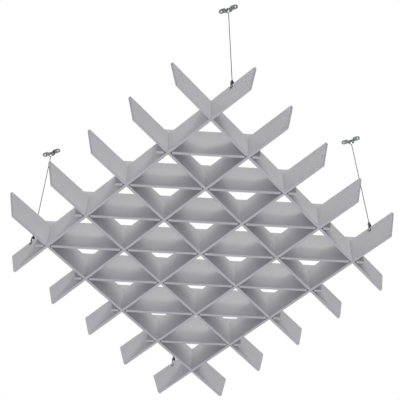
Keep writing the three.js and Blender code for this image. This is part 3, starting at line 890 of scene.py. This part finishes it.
def felt_material():
    """Needle-punched felt: fibres, clumps, a slow mottling, and a tone of its own for each board."""
    n = Nodes("grey_felt")
    mottle = n.noise(n.place(), 11, detail=3.0)
    clumps = n.noise(n.place(), 240, detail=3.0, roughness=0.65)
    lying = fibres(n)
    share = n.math("ADD", n.remap(mottle, NOISE_RANGE, (-0.06, 0.06)),
                   n.remap(clumps, NOISE_RANGE, (0.37, 0.47)))
    share = n.math("ADD", share, n.remap(lying, (0.45, 0.75), (-0.08, 0.14)))
    share = n.math("ADD", share, board_tone(n))
    n.link(n.blend(share, FELT_DARK, FELT_LIGHT), n.shader.inputs["Base Color"])
    n.link(n.remap(clumps, NOISE_RANGE, (0.88, 1.0)), n.shader.inputs["Roughness"])
    set_felt_gloss(n, specular=0.2)
    coarse = n.bump(clumps, distance=0.3 * MM, strength=0.1)
    fine = n.bump(lying, distance=0.2 * MM, strength=0.2, under=coarse)
    n.link(fine, n.shader.inputs["Normal"])
    return n.material


def cut_felt_material():
    """The cut edge: fibres in layers along the board, with their ends showing."""
    n = Nodes("grey_felt_cut_edge")
    layers = n.noise(n.place((0.05, 2.2, 0.05)), 520, detail=2.0, roughness=0.6)
    ends = n.noise(n.place(), 1300, detail=2.0, roughness=0.7)
    share = n.math("ADD", n.remap(layers, NOISE_RANGE, (0.1, 0.6)),
                   n.remap(ends, NOISE_RANGE, (-0.1, 0.3)))
    share = n.math("ADD", share, board_tone(n))
    n.link(n.blend(share, EDGE_DARK, EDGE_LIGHT), n.shader.inputs["Base Color"])
    n.link(n.remap(ends, NOISE_RANGE, (0.9, 1.0)), n.shader.inputs["Roughness"])
    set_felt_gloss(n, specular=0.15)
    coarse = n.bump(layers, distance=0.5 * MM, strength=0.4)
    fine = n.bump(ends, distance=0.4 * MM, strength=0.5, under=coarse)
    n.link(fine, n.shader.inputs["Normal"])
    return n.material


GRAZING_TINT = 0.5  # how much of a bare metal's sheen is left where it's seen edge-on


def metal_material(name, dark, light, smooth, rough, grain_scale, grain):
    """Bare metal with smudges, a fine grain and scratches; the grain's stretch is (x, y, z)."""
    n = Nodes(name)
    smudge = n.noise(n.place(), 130, detail=3.0, roughness=0.6, distortion=0.4)
    lines = n.noise(n.place(grain), grain_scale, detail=2.0, roughness=0.6)
    scratch = n.noise(n.place((1, 0.06, 0.3), (0.3, 0.5, 0.8)), 2600, detail=1.0)
    scratched = n.remap(scratch, (0.66, 0.72), (0, 1))
    tint = n.blend(n.remap(smudge, NOISE_RANGE, (0.1, 0.9)), dark, light)
    colour = n.blend(n.math("MULTIPLY", scratched, 0.25), tint, light)
    n.link(colour, n.shader.inputs["Base Color"])
    n.shader.inputs["Metallic"].default_value = 1
    n.shader.inputs["Specular Tint"].default_value = (GRAZING_TINT, GRAZING_TINT, GRAZING_TINT, 1)
    haze = n.remap(smudge, (0.35, 0.7), (smooth, rough))
    uneven = n.math("ADD", haze, n.remap(lines, NOISE_RANGE, (-0.04, 0.06)))
    n.link(uneven, n.shader.inputs["Roughness"])
    grooves = n.bump(lines, distance=0.02 * MM, strength=0.3)
    marks = n.bump(scratched, distance=0.03 * MM, strength=0.25, under=grooves)
    n.link(marks, n.shader.inputs["Normal"])
    return n.material


TURNED_GRAIN, ROLLED_GRAIN, DRAWN_GRAIN = (1, 1, 0.05), (0.06, 1, 1), (1, 1, 0.15)

felt = felt_material()
cut_felt = cut_felt_material()
polished = metal_material("polished_steel", dark=(0.42, 0.44, 0.47), light=(0.55, 0.57, 0.6),
                          smooth=0.1, rough=0.22, grain_scale=1500, grain=TURNED_GRAIN)
zinc = metal_material("zinc_plate", dark=(0.178, 0.19, 0.188), light=(0.247, 0.262, 0.258),
                      smooth=0.26, rough=0.36, grain_scale=900, grain=ROLLED_GRAIN)
bolt_zinc = metal_material("bolt_zinc", dark=(0.24, 0.247, 0.256), light=(0.32, 0.328, 0.338),
                           smooth=0.28, rough=0.42, grain_scale=1500, grain=TURNED_GRAIN)
nickel = metal_material("dark_nickel", dark=(0.045, 0.047, 0.05), light=(0.08, 0.083, 0.088),
                        smooth=0.17, rough=0.26, grain_scale=1500, grain=TURNED_GRAIN)
wire = metal_material("wire_rope", dark=(0.022, 0.022, 0.0215), light=(0.045, 0.045, 0.044),
                      smooth=0.48, rough=0.6, grain_scale=3000, grain=DRAWN_GRAIN)

HANGING_PIECES = (ceiling_bracket, ceiling_barrel, cable_piece, saddle, cross_bolt, cross_nut,
                  cable_gripper, gripper_plunger, gripper_spring, gripper_collet)

make_lattice()
for k in POINTS:
    for build in HANGING_PIECES:
        build(k)


# ---- Studio ----

RAFT_MIDDLE = Vector((0, 0, -0.7))
SUN_COLOUR = (1, 1, 0.985)
SUN_DISTANCE = 10
SUNS = (  # name, azimuth, elevation, energy and spread
    ("key", 10, 35, 0.83, 9),
    ("second_key", 20, 45, 0.6, 9),
    ("high_fill", 20, 70, 2.5, 50),
    ("left_fill", -60, 40, 0.95, 50),
    ("back_fill", 195, 28, 0.9, 60),
    ("edge_light", -88, 49.5, 0.13, 6),
)
LOW_LAMP_ELEVATION = -75
LOW_LAMP_POWER = 238
LOW_LAMP_DISTANCE = 6.3
LOW_LAMP_SIZE = 5.6
AMBIENT = 0.04
FLOOR_Z = -7.6
FLOOR_HALF = 40
FLOOR_COLOUR = (0.3, 0.296, 0.335)
FLOOR_LIFT = 0.62  # brings the floor to white for the eye


def direction(azimuth, elevation):
    """Away from the raft; azimuth 0 is the camera's side and grows to the right."""
    a, e = math.radians(azimuth), math.radians(elevation)
    return Vector((math.sin(a) * math.cos(e), -math.cos(a) * math.cos(e), math.sin(e)))


def add_lamp(name, kind, azimuth, elevation, energy, colour, distance):
    data = bpy.data.lights.new(name, kind)
    data.energy = energy
    data.color = colour
    lamp = bpy.data.objects.new(name, data)
    lamp.location = RAFT_MIDDLE + direction(azimuth, elevation) * distance
    look_at(lamp, RAFT_MIDDLE)
    bpy.context.scene.collection.objects.link(lamp)
    return data


def add_sun(name, azimuth, elevation, energy, spread):
    sun = add_lamp(name, "SUN", azimuth, elevation, energy, SUN_COLOUR, SUN_DISTANCE)
    sun.angle = math.radians(spread)


def add_low_lamp():
    """A wide disk just over the floor, which lights the slats' bottom edges."""
    lamp = add_lamp("low_lamp", "AREA", 0, LOW_LAMP_ELEVATION, LOW_LAMP_POWER, (1, 1, 1),
                    LOW_LAMP_DISTANCE)
    lamp.shape = "DISK"
    lamp.size = LOW_LAMP_SIZE


def seen_white(tree):
    """1 for rays that see the background, straight, in metal or through glass."""
    path = tree.nodes.new("ShaderNodeLightPath")
    seen = path.outputs["Is Camera Ray"]
    for ray in ("Is Glossy Ray", "Is Transmission Ray"):
        either = tree.nodes.new("ShaderNodeMath")
        either.operation = "MAXIMUM"
        tree.links.new(seen, either.inputs[0])
        tree.links.new(path.outputs[ray], either.inputs[1])
        seen = either.outputs[0]
    return seen


def make_world():
    world = bpy.data.worlds.new("studio")
    bpy.context.scene.world = world
    world.use_nodes = True
    tree = world.node_tree
    ambient = tree.nodes["Background"]
    ambient.inputs["Color"].default_value = (AMBIENT, AMBIENT, AMBIENT, 1)
    white = tree.nodes.new("ShaderNodeBackground")
    white.inputs["Color"].default_value = (1, 1, 1, 1)
    mix = tree.nodes.new("ShaderNodeMixShader")
    tree.links.new(seen_white(tree), mix.inputs["Fac"])
    tree.links.new(ambient.outputs[0], mix.inputs[1])
    tree.links.new(white.outputs[0], mix.inputs[2])
    tree.links.new(mix.outputs[0], tree.nodes["World Output"].inputs["Surface"])


def floor_material():
    """Pale to the eye; what it sends up to the raft is only its own colour's light."""
    material = bpy.data.materials.new("floor")
    material.use_nodes = True
    tree = material.node_tree
    shader = tree.nodes["Principled BSDF"]
    shader.inputs["Base Color"].default_value = (*FLOOR_COLOUR, 1)
    shader.inputs["Roughness"].default_value = 1
    shader.inputs["Specular IOR Level"].default_value = 0
    shader.inputs["Emission Color"].default_value = (1, 1, 1, 1)
    lift = tree.nodes.new("ShaderNodeMath")
    lift.operation = "MULTIPLY"
    lift.inputs[1].default_value = FLOOR_LIFT
    tree.links.new(seen_white(tree), lift.inputs[0])
    tree.links.new(lift.outputs[0], shader.inputs["Emission Strength"])
    return material


def add_floor():
    bm = bmesh.new()
    corners = [(-1, -1), (1, -1), (1, 1), (-1, 1)]
    bm.faces.new([bm.verts.new((x * FLOOR_HALF, y * FLOOR_HALF, 0)) for x, y in corners])
    place = Matrix.Translation((0, 0, FLOOR_Z))
    floor = add_object("floor", bm, [floor_material()], place, smooth_under=30)


add_floor()
make_world()
for sun in SUNS:
    add_sun(*sun)
add_low_lamp()

bpy.context.scene.view_settings.view_transform = "Standard"
